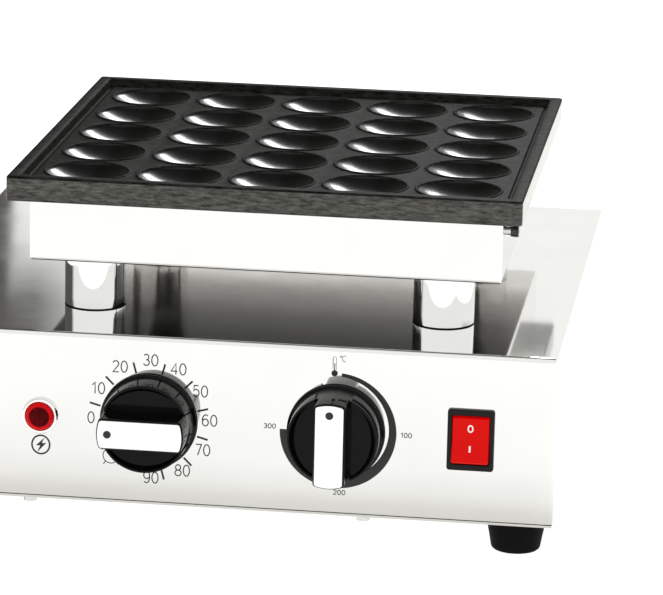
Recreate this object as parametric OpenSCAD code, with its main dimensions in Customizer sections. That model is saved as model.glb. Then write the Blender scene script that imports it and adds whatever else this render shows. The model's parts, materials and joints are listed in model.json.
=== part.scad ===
// Electric mini-pancake grill with one open cast baking plate of round dishes.
// Millimetres. +X to the right, +Y to the back, +Z up.
// Origin: on the floor, under the centre of the control base.

/* [Base] */
// Width of the base across the front panel
base_w = 370.6; // [364:0.2:376]
// Distance of the base's right side from the middle of the baking plate
base_right = 165.3; // [163:0.1:167]
// Depth of the base, front panel to rear wall
base_d = 356; // [350:1:362]
// Height of the top sheet above the floor
base_top = 114; // [112:0.5:118]
// Height of the front panel's lower edge above the floor
panel_z = 21.8; // [21:0.1:22.5]
// Thickness of the stainless sheet
sheet = 1.2; // [1:0.1:1.5]
// Outside radius of the bend along the front and rear top edges
bend_r = 2.6; // [2:0.1:3.5]
// Thickness of the bottom cover
cover_t = 2; // [1.6:0.1:2]
// Gap that shows between the panel and the cover's rim
cover_gap = 0.7; // [0.4:0.1:0.9]
// Width of the return flange inside the base's lower edge
flange_w = 14; // [13:0.5:14]

/* [Feet] */
// Radius of a rubber foot where it meets the cover
foot_r_top = 16.9; // [15:0.1:17.5]
// Radius of a rubber foot at the floor
foot_r_low = 13.7; // [12:0.1:14.5]
// Distance of the feet from the base's left and right sides
foot_in = 21.3; // [18:0.1:24]
// Feet in front of and behind the centre
foot_y = 153; // [148:0.5:153]

/* [Posts] */
// Outside radius of a post
post_r = 16.85; // [15:0.05:17.5]
// Wall of a post
post_wall = 1.6; // [1.2:0.1:2]
// Thickness of the sealing ring under a post
gasket_t = 0.5; // [0.4:0.1:1]
// Posts left and right of the plate's centre
post_x = 97; // [94:0.5:98]
// Posts in front of and behind the plate's centre
post_y = 108; // [106:0.5:108]

/* [Heater box] */
// Side of the square heater box
box_w = 260; // [258:0.5:262]
// Height of the heater box
box_h = 35.2; // [35:0.1:37]
// Clear height between the base and the heater box
post_h = 28.1; // [27:0.1:31]
// Heater box and plate forward of the base's centre
plate_y = -4; // [-5:0.5:-2]

/* [Baking plate] */
// Side of the square cast plate
plate_w = 282; // [280:0.5:284]
// Thickness of the plate at its border
plate_t = 13.8; // [13.5:0.1:15]
// Height of the raised border above the plate's face
lip_h = 4; // [3:0.1:4.5]
// Width of the raised border
lip_w = 7.5; // [6:0.1:8]
// Distance between dish centres
pitch = 51.5; // [50.5:0.1:51.5]
// Radius of a dish at its rim
dish_r = 22.5; // [20:0.1:22.5]
// Depth of a dish
dish_depth = 7.5; // [6:0.1:7.5]
// Dishes along each side
dish_n = 5; // [5]

/* [Front panel] */
// Height of the row of controls above the panel's lower edge
row_h = 45.1; // [44:0.1:46]
// Pilot lamp, left and right position
lamp_x = -114.5; // [-117:0.1:-113]
// Timer, left and right position
timer_x = -55; // [-57:0.1:-53]
// Thermostat, left and right position
thermo_x = 47.1; // [45:0.1:49]
// Rocker switch, left and right position
switch_x = 120; // [117:0.1:121]

/* [Knobs] */
// Radius of a knob at the panel
knob_r = 26.6; // [25:0.1:27]
// Radius of the knob's front disc
knob_rf = 24.6; // [23:0.1:25]
// Height of the knob's front disc above the panel
knob_h = 17; // [16:0.1:18]
// Height of the grip bar above the panel
grip_h = 29; // [28:0.1:29]
// Width of the grip bar
grip_w = 17; // [16:0.1:18]

/* [Switch] */
// Width of the switch bezel
bezel_w = 25.3; // [24.5:0.1:26]
// Height of the switch bezel
bezel_h = 34; // [33:0.1:35]

/* [Hidden] */
$fn = 64;
e = 0.01;

fy = -base_d / 2;                    // front face of the panel
ry = base_d / 2;                     // rear face
row_z = panel_z + row_h;             // control axes above the floor
cover_z = panel_z - cover_t;         // underside of the cover
box_z = base_top + post_h;           // underside of the heater box
plate_z = box_z + box_h;             // underside of the plate
top_z = plate_z + plate_t;           // top of the plate's border
face_z = top_z - lip_h;              // plate's face between the dishes
dish_R = (dish_r * dish_r + dish_depth * dish_depth) / (2 * dish_depth);
half = (dish_n - 1) / 2;
wire_off = 11.2;                        // wire hole beside a tie rod, inside a post
stud_x = box_w / 2 - 7.4;
stud_y = 1.5 * pitch;
clamp_x = 1.5 * pitch;
clamp_y = 1.5 * pitch;
elem_r = 4;
elem_z = plate_z - elem_r - 0.2;
leg_x = 88;
gland_x = -118;
// Left side of the base, measured from the middle of the baking plate
base_left = base_right - base_w;
gland_z = 62;
earth_x = -80;
earth_z = 46;

steel = [0.80, 0.80, 0.80];
zinc = [0.66, 0.66, 0.64];
black = [0.05, 0.05, 0.05];

module at_posts() for (x = [-1, 1], y = [-1, 1])
  translate([x * post_x, plate_y + y * post_y, 0]) children();
module at_feet() for (x = [base_left + foot_in, base_right - foot_in], y = [-1, 1])
  translate([x, y * foot_y, 0]) children();
module at_studs() for (x = [-1, 1], y = [-1, 1])
  translate([x * stud_x, plate_y + y * stud_y, 0]) children();
module at_clamps() for (x = [-1, 1], y = [-1, 1])
  translate([x * clamp_x, plate_y + y * clamp_y, 0]) children();
module at_cover_screws() {
  for (x = [-121.6, 62], y = [-1, 1]) translate([x, y * (base_d / 2 - 8), 0]) children();
  for (x = [base_left + 8, base_right - 8], y = [-1, 1]) translate([x, y * 96, 0]) children();
}
// Lays a shape out on the front panel: local x right, local y up, local z out of the panel
module on_front(x, z) translate([x, fy, z]) rotate([90, 0, 0]) children();
module hexa(af, h) rotate(30) cylinder(r = af / sqrt(3), h = h, $fn = 6);
// Tube swept along a route with rounded corners
function unit(v) = v / norm(v);
function tang(p, i) = unit(p[min(i + 1, len(p) - 1)] - p[max(i - 1, 0)]);
function near(a, b, d) = a + min(d, 0.45 * norm(b - a)) * unit(b - a);
function bend(a, b, c) = [for (t = [0 : 3]) let (u = t / 3) (1 - u) * (1 - u) * a + 2 * u * (1 - u) * b + u * u * c];
function rounded(p, d) = concat([p[0]], [for (i = [1 : len(p) - 2]) each bend(near(p[i], p[i - 1], d), p[i], near(p[i], p[i + 1], d))], [p[len(p) - 1]]);
function carry(p, i = 0, n = [0.31, 0.53, 0.79], acc = []) = i == len(p) ? acc :
  let (t = tang(p, i), m = unit(n - (n * t) * t)) carry(p, i + 1, m, concat(acc, [m]));
module tube(route, r, k = 8) {
  p = rounded(route, 4); a = carry(p); n = len(p);
  polyhedron(
    points = [for (i = [0 : n - 1], j = [0 : k - 1]) p[i] + r * (cos(360 * j / k) * a[i] + sin(360 * j / k) * cross(tang(p, i), a[i]))],
    faces = concat([[for (j = [0 : k - 1]) j], [for (j = [k - 1 : -1 : 0]) (n - 1) * k + j]],
      [for (i = [0 : n - 2], j = [0 : k - 1]) [i * k + j, (i + 1) * k + j, (i + 1) * k + (j + 1) % k, i * k + (j + 1) % k]]));
}

// ---- Base ----
// Rectangle with round corners at its lower edge and/or its upper edge
module round_rect(a, b, r, low, high) {
  lo = low ? r : 0; hi = high ? r : 0;
  translate([a[0], a[1] + lo]) square([b[0] - a[0], b[1] - a[1] - lo - hi]);
  if (low) { translate([a[0] + r, a[1]]) square([b[0] - a[0] - 2 * r, r + 1]);
    for (x = [a[0] + r, b[0] - r]) translate([x, a[1] + r]) circle(r = r, $fn = 48); }
  if (high) { translate([a[0] + r, b[1] - r - 1]) square([b[0] - a[0] - 2 * r, r + 1]);
    for (x = [a[0] + r, b[0] - r]) translate([x, b[1] - r]) circle(r = r, $fn = 48); }
}
// Box rounded along its upright edges and its top or bottom edges
module folded_box(a, b, r, rv, low, high) intersection() {
  translate([a[0], 0, 0]) rotate([90, 0, 90]) linear_extrude(b[0] - a[0]) round_rect([a[1], a[2]], [b[1], b[2]], r, low, high);
  translate([0, b[1], 0]) rotate([90, 0, 0]) linear_extrude(b[1] - a[1]) round_rect([a[0], a[2]], [b[0], b[2]], r, low, high);
  translate([0, 0, a[2]]) linear_extrude(b[2] - a[2]) round_rect([a[0], a[1]], [b[0], b[1]], rv, true, true);
}
module base_shell() color(steel) difference() {
  union() {
    difference() {
      folded_box([base_left, fy, panel_z], [base_right, ry, base_top], bend_r, 1.6, false, true);
      folded_box([base_left + sheet, fy + sheet, panel_z - 5], [base_right - sheet, ry - sheet, base_top - sheet], bend_r - sheet, 0.5, false, true);
    }
    difference() {
      translate([base_left + sheet / 2, fy + sheet / 2, panel_z]) cube([base_w - sheet, base_d - sheet, sheet]);
      translate([base_left + flange_w, fy + flange_w, panel_z - 1]) cube([base_w - 2 * flange_w, base_d - 2 * flange_w, sheet + 2]);
    }
  }
  at_cover_screws() translate([0, 0, panel_z - 1]) cylinder(r = 2.05, h = sheet + 2);
  at_posts() translate([0, 0, base_top - 3]) cylinder(r = 4.3, h = 5);
  for (s = [-1, 1]) translate([s * (post_x - wire_off), plate_y - post_y, base_top - 3]) cylinder(r = 3.6, h = 5);
  on_front(lamp_x, row_z) translate([0, 0, -3]) cylinder(r = 7.1, h = 5);
  for (x = [timer_x, thermo_x]) on_front(x, row_z) translate([0, 0, -3]) {
    cylinder(r = 5.2, h = 5);
    for (s = [-14, 14]) translate([s, 0, 0]) cylinder(r = 2.1, h = 5);
  }
  on_front(switch_x, row_z) translate([-11.1, -15.1, -3]) cube([22.2, 30.2, 5]);
  translate([gland_x, ry + 2, gland_z]) rotate([90, 0, 0]) cylinder(r = 10.1, h = 5);
  translate([earth_x, ry + 2, earth_z]) rotate([90, 0, 0]) cylinder(r = 4.1, h = 5);
  // ventilation slots in the rear wall
  for (i = [0 : 6], s = [0, 1]) translate([20 + i * 14, ry - 3, 45 + s * 28]) cube([5, 5, 20]);
}
module base_cover() color(steel) difference() {
  union() {
    translate([base_left + 0.4, fy + 0.4, cover_z]) cube([base_w - 0.8, base_d - 0.8, cover_t - cover_gap]);
    translate([base_left + 5, fy + 5, cover_z]) cube([base_w - 10, base_d - 10, cover_t]);
  }
  at_cover_screws() translate([0, 0, cover_z - 1]) cylinder(r = 2.3, h = cover_t + 2);
  at_feet() translate([0, 0, cover_z - 1]) cylinder(r = 2.7, h = cover_t + 2);
  for (i = [-5 : 5], s = [-1, 1]) translate([i * 18 - 3, s * 62 - 25, cover_z - 1]) cube([6, 50, cover_t + 2]);
}
module cover_screws() color(zinc) at_cover_screws() {
  translate([0, 0, cover_z - 3.6]) difference() {
    cylinder(r = 3.7, h = 3.6);
    for (a = [0, 90]) rotate(a) translate([-2.2, -0.4, -1]) cube([4.4, 0.8, 2]);
  }
  translate([0, 0, cover_z - e]) cylinder(r = 2, h = 9);
}
module foot(x, y) color(black) translate([x, y, 0]) difference() {
  rotate_extrude() polygon([[0, 0], [foot_r_low - 2.4, 0], [foot_r_low - 1.1, 0.35], [foot_r_low - 0.3, 1.2], [foot_r_low, 2.4],
    [foot_r_top - 0.3, cover_z - 1.2], [foot_r_top, cover_z - 0.6], [foot_r_top, cover_z], [0, cover_z]]);
  translate([0, 0, -1]) cylinder(r = 6, h = 9);
  translate([0, 0, -1]) cylinder(r = 2.6, h = cover_z + 2);
}
module foot_front_left() foot(base_left + foot_in, -foot_y);
module foot_front_right() foot(base_right - foot_in, -foot_y);
module foot_rear_left() foot(base_left + foot_in, foot_y);
module foot_rear_right() foot(base_right - foot_in, foot_y);
module foot_screws() color(zinc) at_feet() {
  translate([0, 0, 4.8]) difference() {
    cylinder(r = 4.7, h = 3.2);
    for (a = [0, 90]) rotate(a) translate([-2.6, -0.5, -1]) cube([5.2, 1, 2.6]);
  }
  translate([0, 0, 8 - e]) cylinder(r = 2.5, h = panel_z - 8 + 5 + e);
  translate([0, 0, panel_z]) difference() { hexa(8, 4); translate([0, 0, -1]) cylinder(r = 2.4, h = 6); }
}

// ---- Posts and tie rods ----
module post(sx, sy) color([0.86, 0.86, 0.87])
  translate([sx * post_x, plate_y + sy * post_y, base_top + gasket_t]) difference() {
    cylinder(r = post_r, h = post_h - gasket_t, $fn = 96);
    translate([0, 0, -1]) cylinder(r = post_r - post_wall, h = post_h + 2, $fn = 96);
  }
module post_gaskets() color(black) at_posts() translate([0, 0, base_top]) difference() {
  cylinder(r = post_r + 0.1, h = gasket_t, $fn = 96);
  translate([0, 0, -1]) cylinder(r = post_r - post_wall - 0.5, h = gasket_t + 2, $fn = 96);
}
module post_front_left() post(-1, -1);
module post_front_right() post(1, -1);
module post_rear_left() post(-1, 1);
module post_rear_right() post(1, 1);
module tie_rods() color(zinc) at_posts() translate([0, 0, base_top - sheet - 12]) cylinder(r = 4, h = post_h + 2 * sheet + 22);
module tie_washers() color(zinc) at_posts() for (z = [base_top - sheet - 1.6, box_z + sheet])
  translate([0, 0, z]) difference() { cylinder(r = 8, h = 1.6); translate([0, 0, -1]) cylinder(r = 4.2, h = 4); }
module tie_nuts() color(zinc) at_posts() for (z = [base_top - sheet - 1.6 - 6.5, box_z + sheet + 1.6])
  translate([0, 0, z]) difference() { hexa(13, 6.5); translate([0, 0, -1]) cylinder(r = 4.05, h = 9); }

// ---- Heater box ----
module heater_box() color([0.88, 0.88, 0.88]) difference() {
  folded_box([-box_w / 2, plate_y - box_w / 2, box_z], [box_w / 2, plate_y + box_w / 2, plate_z], 2, 1.6, true, false);
  translate([-box_w / 2 + sheet, plate_y - box_w / 2 + sheet, box_z + sheet]) cube([box_w - 2 * sheet, box_w - 2 * sheet, box_h - 2 * sheet]);
  translate([-box_w / 2 + 13, plate_y - box_w / 2 + 13, box_z + sheet]) cube([box_w - 26, box_w - 26, box_h]);
  at_posts() translate([0, 0, box_z - 1]) cylinder(r = 4.3, h = 4);
  for (s = [-1, 1]) translate([s * (post_x - wire_off), plate_y - post_y, box_z - 1]) cylinder(r = 3.6, h = 4);
  at_studs() translate([0, 0, plate_z - 4]) cylinder(r = 3.3, h = 6);
  at_side_screw() translate([0, 0, -4]) cylinder(r = 2.1, h = 8);
}
module at_side_screw() translate([box_w / 2, plate_y - 118, top_z - 21.3]) rotate([0, 90, 0]) children();
module heater_box_screw() color([0.16, 0.16, 0.16]) at_side_screw() {
  translate([0, 0, -8]) cylinder(r = 2, h = 12);
  translate([0, 0, 3.4]) difference() { cylinder(r = 3.5, h = 4.2); rotate([0, 0, 90]) translate([-4, -0.5, 2.9]) cube([8, 1, 2]); }
  translate([0, 0, -sheet - 3.2]) difference() { hexa(7, 3.2); translate([0, 0, -1]) cylinder(r = 1.9, h = 6); }
}
module heater_box_spacer() color(zinc) at_side_screw() difference() { cylinder(r = 2.9, h = 3.4); translate([0, 0, -1]) cylinder(r = 2.05, h = 9); }
module board_holes(r) {
  at_posts() cylinder(r = r, h = 60);
  translate([-leg_x - 14, plate_y, 0]) for (y = [-89, -14, 14, 89]) translate([0, y, 0]) cylinder(r = 6, h = 60);
}
module insulation_board() color([0.86, 0.84, 0.78]) difference() {
  translate([-box_w / 2 + sheet + 1, plate_y - box_w / 2 + sheet + 1, box_z + sheet]) cube([box_w - 2 * sheet - 2, box_w - 2 * sheet - 2, 10]);
  translate([0, 0, box_z - 5]) board_holes(14);
}
module heat_reflector() color([0.75, 0.75, 0.77]) difference() {
  translate([-box_w / 2 + sheet + 1, plate_y - box_w / 2 + sheet + 1, box_z + sheet + 10]) cube([box_w - 2 * sheet - 2, box_w - 2 * sheet - 2, 0.8]);
  translate([0, 0, box_z - 5]) board_holes(14);
}
// Tubular heater: four straight legs joined by half turns, both ends turned down
module heating_element(s) color([0.35, 0.33, 0.31]) translate([0, plate_y, elem_z]) {
  ys = [14, 39, 64, 89];
  for (y = ys) translate([-leg_x, s * y, 0]) rotate([0, 90, 0]) cylinder(r = elem_r, h = 2 * leg_x, $fn = 32);
  for (y = [26.5, 76.5]) translate([leg_x, s * y, 0]) rotate(-90) rotate_extrude(angle = 180, $fn = 48) translate([12.5, 0]) circle(r = elem_r, $fn = 32);
  translate([-leg_x, s * 51.5, 0]) rotate(90) rotate_extrude(angle = 180, $fn = 48) translate([12.5, 0]) circle(r = elem_r, $fn = 32);
  for (y = [14, 89]) translate([-leg_x, s * y, -8]) rotate([90, 0, 0]) rotate([0, 0, 90]) rotate_extrude(angle = 90, $fn = 48) translate([8, 0]) circle(r = elem_r, $fn = 32);
  for (y = [14, 89]) translate([-leg_x - 8, s * y, -10]) { cylinder(r = elem_r, h = 2, $fn = 32); translate([0, 0, -3]) cylinder(r = 1.6, h = 4, $fn = 24); }
}
module heating_element_front() heating_element(-1);
module heating_element_rear() heating_element(1);
module element_clamps() color(zinc) for (x = [-1, 1]) difference() {
  translate([x * clamp_x - 7, plate_y - 98, elem_z - elem_r - 2.3]) cube([14, 196, 2]);
  at_clamps() translate([0, 0, elem_z - 12]) cylinder(r = 2.7, h = 12);
}
module clamp_bolts() color(zinc) at_clamps() translate([0, 0, elem_z - elem_r - 2.3]) {
  translate([0, 0, -3.5]) hexa(8, 3.5);
  translate([0, 0, -e]) cylinder(r = 2.5, h = 2.3 + 2 * elem_r + 0.2 + 4.5);
}
module thermostat_bulb() color([0.72, 0.45, 0.30])
  translate([20, plate_y, elem_z]) rotate([0, 90, 0]) cylinder(r = 3, h = 60, $fn = 32);
module thermostat_capillary() color([0.72, 0.45, 0.30]) tube([[80, plate_y, elem_z], [95, plate_y, elem_z], [101, plate_y - 4, elem_z - 9],
  [112, plate_y - 60, elem_z - 11], [post_x - wire_off, plate_y - post_y, elem_z - 11], [post_x - wire_off, plate_y - post_y, base_top - 14],
  [thermo_x, -112, base_top - 22], [thermo_x, -118, row_z], [thermo_x, fy + sheet + 33, row_z]], 1.1);
// Four leads from the element ends, through the front left post, to the terminal block
module element_leads() color([0.85, 0.82, 0.74]) {
  px = -post_x + wire_off; py = plate_y - post_y; t = elem_z - 13;
  for (w = [[-89, 0], [-14, 1], [14, 2], [89, 3]]) {
    k = w[1]; up = k % 2; x = px + (up ? 1.35 : -1.35); y = py + (k < 2 ? 1.35 : -1.35);
    z = t - 4 + k * 2.7; lane = -leg_x - 16 - 4 * k; low = [62, 62, 56, 50][k]; out = [-95, -85, -105, -115][k];
    tube(concat([[-leg_x - 8, plate_y + w[0], t], [-leg_x - 8, plate_y + w[0], t - 3.6], [lane, plate_y + w[0] - 3, t - 3.8]],
      k > 0 ? [[lane, plate_y + w[0] - 11, z]] : [], [[lane, y, z], [x, y, z], [x, y, low], [x, y + 20, low - 4], [out, -50, 36], [out, -24, 35]]), 1.1);
  }
}

// ---- Baking plate ----
module at_dishes() for (i = [-half : half], j = [-half : half])
  translate([i * pitch, plate_y + j * pitch, 0]) children();
module baking_plate() color([0.20, 0.20, 0.19]) difference() {
  union() {
    difference() {
      translate([-plate_w / 2, plate_y - plate_w / 2, plate_z]) cube([plate_w, plate_w, plate_t]);
      translate([-plate_w / 2 + lip_w, plate_y - plate_w / 2 + lip_w, face_z]) cube([plate_w - 2 * lip_w, plate_w - 2 * lip_w, lip_h + 1]);
      // drip channel inside the border
      difference() {
        translate([-plate_w / 2 + lip_w, plate_y - plate_w / 2 + lip_w, face_z - 1]) cube([plate_w - 2 * lip_w, plate_w - 2 * lip_w, 2]);
        translate([-plate_w / 2 + lip_w + 2.5, plate_y - plate_w / 2 + lip_w + 2.5, face_z - 2]) cube([plate_w - 2 * lip_w - 5, plate_w - 2 * lip_w - 5, 4]);
      }
    }
    at_dishes() translate([0, 0, face_z - 1]) cylinder(r = dish_r + 1.6, h = 1.8, $fn = 96);
  }
  at_dishes() translate([0, 0, face_z - dish_depth + dish_R]) sphere(r = dish_R, $fn = 96);
  at_dishes() translate([0, 0, face_z]) cylinder(r = dish_r, h = 3, $fn = 96);
  at_studs() translate([0, 0, plate_z - 1]) cylinder(r = 3.05, h = 8);
  at_clamps() translate([0, 0, plate_z - 1]) cylinder(r = 2.55, h = 6);
}
module plate_studs() color(zinc) at_studs() translate([0, 0, plate_z - 10]) cylinder(r = 3, h = 16.5);
module stud_nuts() color(zinc) at_studs() translate([0, 0, plate_z - sheet - 5]) difference() { hexa(10, 5); translate([0, 0, -1]) cylinder(r = 3.05, h = 8); }

// ---- Knobs ----
// Local z points out of the panel, the grip bar runs along local x, its pointer end is at -x
module knob() difference() {
  union() {
    // flared skirt
    rotate_extrude($fn = 96) polygon([[0, 1], [knob_r - 0.3, 1], [knob_r, 1.4], [knob_r - 0.1, 2.2], [knob_r - 1.3, 3.4], [knob_r - 2.4, 5],
      [knob_r - 3.1, 7], [knob_r - 3.4, 10], [knob_r - 3.5, 14], [0, 14]]);
    // side segments
    difference() {
      translate([0, 0, 2]) cylinder(r1 = knob_rf + 0.9, r2 = knob_rf, h = knob_h - 2, $fn = 96);
      for (s = [-1, 1]) translate([s * 30, 0, 0]) translate([0, 0, 1]) rotate(45) cube([20, 20, 60], center = true);
      for (s = [-1, 1]) translate([s * 26 - 6, -grip_w / 2 - 0.5, 1]) cube([12, grip_w + 1, 40]);
    }
    // grip bar
    intersection() {
      translate([-30, -grip_w / 2, 2]) cube([60, grip_w, grip_h - 2]);
      cylinder(r = knob_rf - 0.9, h = 60, $fn = 96);
    }
  }
  // finger grooves beside the grip
  for (s = [-1, 1]) difference() {
    translate([0, s * (grip_w / 2 + 6.2), knob_h + 3.2]) rotate([0, 90, 0]) cylinder(r = 9.5, h = 60, center = true, $fn = 64);
    translate([-30, -grip_w / 2, 0]) cube([60, grip_w, 60]);
  }
  // hollow behind the skirt
  difference() {
    translate([0, 0, 0]) cylinder(r = knob_r - 5.6, h = 8, $fn = 64);
    translate([0, 0, -1]) cylinder(r = 7, h = 12);
  }
  translate([0, 0, -1]) cylinder(r = 3.03, h = 20);
}
module insert_shape() translate([0, 0, grip_h]) difference() {
  intersection() {
    translate([-22.8, -7.7, 0]) cube([45.6, 15.4, 1]);
    cylinder(r = 23.2, h = 5, $fn = 96);
  }
  translate([-17.5, 0, 0.6]) cylinder(r = 2.1, h = 2);
}
module timer_knob() color(black) on_front(timer_x, row_z) knob();
module timer_knob_insert() color([0.9, 0.9, 0.9]) on_front(timer_x, row_z) insert_shape();
module thermostat_knob() color(black) on_front(thermo_x, row_z) rotate(-90) knob();
module thermostat_knob_insert() color([0.9, 0.9, 0.9]) on_front(thermo_x, row_z) rotate(-90) insert_shape();
module shaft(l) translate([0, 0, -l]) cylinder(r = 3, h = l + 18.5);
module timer_shaft() color(zinc) on_front(timer_x, row_z) shaft(14);
module thermostat_shaft() color(zinc) on_front(thermo_x, row_z) shaft(14);
module panel_screws(x) color(zinc) for (s = [-14, 14]) on_front(x, row_z) translate([s, 0, 0]) {
  translate([0, 0, -sheet - 5]) cylinder(r = 2, h = sheet + 5 + e);
  cylinder(r = 3.4, h = 0.9);
}
module timer_screws() panel_screws(timer_x);
module thermostat_screws() panel_screws(thermo_x);
// Clockwork timer: front plate, gear case and two contact tabs
module timer_body() color([0.78, 0.76, 0.70]) on_front(timer_x, row_z) difference() {
  union() {
    translate([-20, -20, -sheet - 2]) cube([40, 40, 2]);
    translate([0, 0, -sheet - 30]) cylinder(r = 21, h = 28 + e, $fn = 64);
    for (s = [-9, 9]) translate([s - 3.2, 12, -sheet - 38]) cube([6.4, 0.8, 9]);
  }
  translate([0, 0, -15]) cylinder(r = 3.05, h = 20);
  for (s = [-14, 14]) translate([s, 0, -sheet - 6]) cylinder(r = 2.05, h = 8);
}
module thermostat_body() color([0.72, 0.72, 0.70]) on_front(thermo_x, row_z) difference() {
  union() {
    translate([-20, -12, -sheet - 2]) cube([40, 24, 2]);
    translate([-17, -16, -sheet - 28]) cube([34, 32, 26 + e]);
    translate([0, 0, -sheet - 33]) cylinder(r = 9, h = 5 + e, $fn = 48);
    for (s = [-10, 10]) translate([s - 3.2, -9, -sheet - 36]) cube([6.4, 0.8, 9]);
  }
  translate([0, 0, -15]) cylinder(r = 3.05, h = 20);
  for (s = [-14, 14]) translate([s, 0, -sheet - 6]) cylinder(r = 2.05, h = 8);
}

// ---- Rocker switch ----
rock_z = 0.5;                        // rocker pivot above the panel face
module switch_housing() color(black) on_front(switch_x, row_z) difference() {
  union() {
    translate([-bezel_w / 2, -bezel_h / 2, 0]) cube([bezel_w, bezel_h, 1.2]);
    translate([-bezel_w / 2 + 0.8, -bezel_h / 2 + 0.8, 1.2 - e]) cube([bezel_w - 1.6, bezel_h - 1.6, 1]);
    translate([-10.9, -14.9, -22]) cube([21.8, 29.8, 22 + e]);
  }
  translate([-10, -13.4, -11]) cube([20, 26.8, 20]);
}
module rocker_outline() difference() {
  circle(r = 12.9, $fn = 96);
  translate([-15, -15]) square([15 - 8, 30]);
  // two faces meeting in a shallow valley, local x points out of the panel
  for (s = [-1, 1]) translate([3.0, 0]) rotate(-s * 10) translate([0, s > 0 ? -2 : -28]) square([20, 30]);
}
module switch_rocker() color([0.8, 0.06, 0.03]) on_front(switch_x, row_z) translate([0, 0, rock_z])
  rotate([-10, 0, 0]) rotate([0, -90, 0]) translate([0, 0, -9.75]) difference() {
    linear_extrude(19.5) rocker_outline();
  }
module switch_terminals() color([0.8, 0.7, 0.4]) on_front(switch_x, row_z)
  for (x = [-5.5, 5.5], y = [-8, 8]) translate([x - 0.4, y - 3.15, -31]) cube([0.8, 6.3, 9]);

// ---- Pilot lamp ----
module pilot_lamp_bezel() color([0.93, 0.93, 0.92]) on_front(lamp_x, row_z) rotate_extrude($fn = 96)
  polygon([[7.0, 0], [10.2, 0], [10.2, 1.2], [9.9, 2.2], [9.2, 3.0], [8.4, 3.3], [7.9, 3.2], [7.9, 1.2], [7.0, 1.2]]);
module pilot_lamp_lens() color([0.75, 0.02, 0.04, 0.85]) on_front(lamp_x, row_z) rotate_extrude($fn = 96)
  polygon([[0, 1.2], [7.8, 1.2], [7.8, 3.2], [7.3, 4.0], [6.2, 4.7], [4.6, 5.2], [2.4, 5.5], [0, 5.6]]);
module pilot_lamp_body() color([0.9, 0.9, 0.88]) on_front(lamp_x, row_z) {
  translate([0, 0, -20]) cylinder(r = 6.9, h = 21.2 - e, $fn = 64);
  for (s = [-3, 3]) translate([s - 0.4, -2.4, -28]) cube([0.8, 4.8, 8 + e]);
}
module pilot_lamp_nut() color(black) on_front(lamp_x, row_z) translate([0, 0, -sheet - 5]) difference() {
  hexa(18, 5); translate([0, 0, -1]) cylinder(r = 6.95, h = 8);
}

// ---- Wiring ----
module terminal_block() color([0.90, 0.89, 0.85]) translate([-120, -30, panel_z]) difference() {
  union() { cube([40, 40, 6]); for (i = [0 : 3]) translate([1 + i * 10, 6, 6 - e]) cube([8, 28, 16]); }
  for (i = [0 : 3], y = [11, 29]) translate([5 + i * 10, y, 14]) cylinder(r = 2.1, h = 10);
}
module terminal_screws() color([0.8, 0.7, 0.4]) translate([-120, -30, panel_z])
  for (i = [0 : 3], y = [11, 29]) translate([5 + i * 10, y, 14]) difference() { cylinder(r = 2, h = 5); translate([-3, -0.4, 4.2]) cube([6, 0.8, 2]); }
module on_gland() translate([gland_x, ry, gland_z]) rotate([-90, 0, 0]) children();
module cable_gland() color(black) on_gland() difference() {
  union() { hexa(24, 5); translate([0, 0, -12]) cylinder(r = 10, h = 12 + e); translate([0, 0, 5 - e]) cylinder(r = 9, h = 9); }
  translate([0, 0, -13]) cylinder(r = 4, h = 40);
}
module gland_nut() color(black) on_gland() difference() {
  union() { translate([0, 0, 5.2]) hexa(24, 14); translate([0, 0, 19.2 - e]) cylinder(r1 = 11, r2 = 8, h = 10.8); }
  translate([0, 0, 5]) cylinder(r = 9.1, h = 9.2);
  translate([0, 0, 5]) cylinder(r = 4, h = 40);
}
module gland_locknut() color(black) on_gland() translate([0, 0, -sheet - 5]) difference() { hexa(24, 5); translate([0, 0, -1]) cylinder(r = 10.05, h = 8); }
module earth_stud() color(zinc) translate([earth_x, ry, earth_z]) rotate([-90, 0, 0]) {
  translate([0, 0, -sheet - 6]) cylinder(r = 4, h = sheet + 11);
  translate([0, 0, 5 - e]) cylinder(r = 2.9, h = 12 + e);
}
module earth_nuts() color(zinc) translate([earth_x, ry, earth_z]) rotate([-90, 0, 0])
  for (z = [-sheet - 5, 0]) translate([0, 0, z]) difference() { hexa(13, 5); translate([0, 0, -1]) cylinder(r = 4.05, h = 8); }

// Sets a piece drawn about the middle of the plate down over the middle of the base
module place() translate([base_w / 2 - base_right, 0, 0]) children();
place() base_shell();
place() base_cover();
place() cover_screws();
place() foot_front_left();
place() foot_front_right();
place() foot_rear_left();
place() foot_rear_right();
place() foot_screws();
place() post_front_left();
place() post_front_right();
place() post_rear_left();
place() post_rear_right();
place() post_gaskets();
place() tie_rods();
place() tie_nuts();
place() tie_washers();
place() heater_box();
place() heater_box_screw();
place() heater_box_spacer();
place() insulation_board();
place() heat_reflector();
place() heating_element_front();
place() heating_element_rear();
place() element_clamps();
place() clamp_bolts();
place() thermostat_bulb();
place() thermostat_capillary();
place() element_leads();
place() baking_plate();
place() plate_studs();
place() stud_nuts();
place() timer_body();
place() timer_shaft();
place() timer_knob();
place() timer_knob_insert();
place() timer_screws();
place() thermostat_body();
place() thermostat_shaft();
place() thermostat_knob();
place() thermostat_knob_insert();
place() thermostat_screws();
place() switch_housing();
place() switch_rocker();
place() switch_terminals();
place() pilot_lamp_bezel();
place() pilot_lamp_lens();
place() pilot_lamp_body();
place() pilot_lamp_nut();
place() terminal_block();
place() terminal_screws();
place() cable_gland();
place() gland_nut();
place() gland_locknut();
place() earth_stud();
place() earth_nuts();
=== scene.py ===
import json
import math

import bpy
from mathutils import Matrix, Vector


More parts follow.
